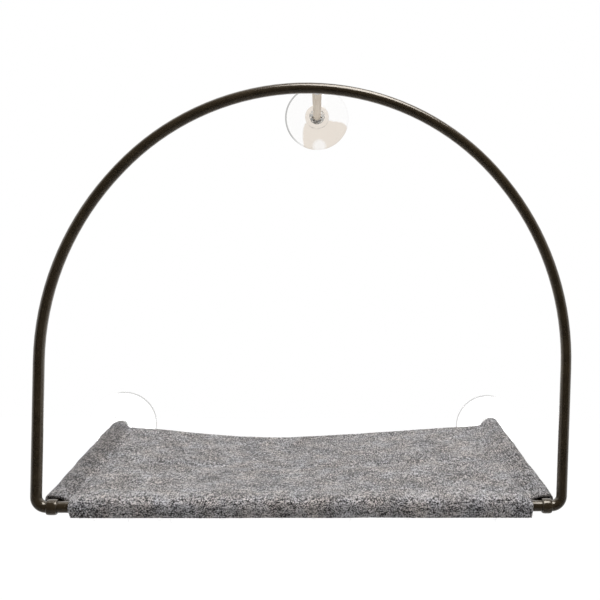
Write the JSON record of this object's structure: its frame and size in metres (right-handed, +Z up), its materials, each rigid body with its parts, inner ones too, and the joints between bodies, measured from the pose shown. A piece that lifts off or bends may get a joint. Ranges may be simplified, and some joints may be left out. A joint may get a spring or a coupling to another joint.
{
  "type": "window mounted cat perch",
  "caption": "Window perch for a cat: felt bed on two rods under a tall arched tube hoop, held to the glass by suction cups behind the rods and a strut.",
  "frame": {"origin": "on the window's face, midway between the two lower suction cups, at the height of the bed rods", "axes": "+X along the window to the right as seen from the room, +Y from the room towards the window, +Z up"},
  "size_m": [0.552, 0.3079, 0.481],
  "materials": {
    "powder_coat": "semi-gloss dark bronze powder coat on steel tube",
    "strut_coat": "matte off-white coat on steel tube",
    "felt": "thick grey melange felt",
    "clear_pvc": "clear, slightly milky soft PVC",
    "zinc": "bright zinc plate",
    "nylon": "black moulded nylon",
    "closure_tape": "woven hook and loop tape"
  },
  "bodies": {
    "bed": {"left_side_rod": "powder_coat", "right_side_rod": "powder_coat", "left_eye": "powder_coat", "right_eye": "powder_coat", "left_eye_bush": "nylon", "right_eye_bush": "nylon", "left_rod_plug": "nylon", "right_rod_plug": "nylon", "left_star_washer": "zinc", "right_star_washer": "zinc", "seat_panel": "felt", "left_sleeve": "felt", "right_sleeve": "felt", "front_sleeve": "felt", "front_hook_strip": "closure_tape", "front_loop_strip": "closure_tape"},
    "hoop": {"hoop_tube": "powder_coat", "front_bar": "powder_coat", "left_lock_screw": "zinc", "right_lock_screw": "zinc", "crown_stud": "powder_coat"},
    "strut": {"strut_tube": "strut_coat", "strut_insert": "zinc", "strut_plug": "nylon", "top_star_washer": "zinc"},
    "top_cup": {"top_cup": "clear_pvc"},
    "left_cup": {"left_cup": "clear_pvc"},
    "right_cup": {"right_cup": "clear_pvc"}
  },
  "joints": [
    {"name": "hoop_fold", "type": "hinge", "parent": "bed", "child": "hoop", "pos_m": [0, -0.3, 0], "axis": [-1, 0, 0], "range_deg": [0, 84]},
    {"name": "strut_turn", "type": "hinge", "parent": "hoop", "child": "strut", "pos_m": [0, -0.289, 0.399], "axis": [0, 1, 0], "continuous": true},
    {"name": "top_cup_turn", "type": "hinge", "parent": "strut", "child": "top_cup", "pos_m": [0, 0, 0.399], "axis": [0, 1, 0], "continuous": true},
    {"name": "left_cup_turn", "type": "hinge", "parent": "bed", "child": "left_cup", "pos_m": [-0.235, 0, 0], "axis": [0, 1, 0], "continuous": true},
    {"name": "right_cup_turn", "type": "hinge", "parent": "bed", "child": "right_cup", "pos_m": [0.235, 0, 0], "axis": [0, 1, 0], "continuous": true}
  ]
}
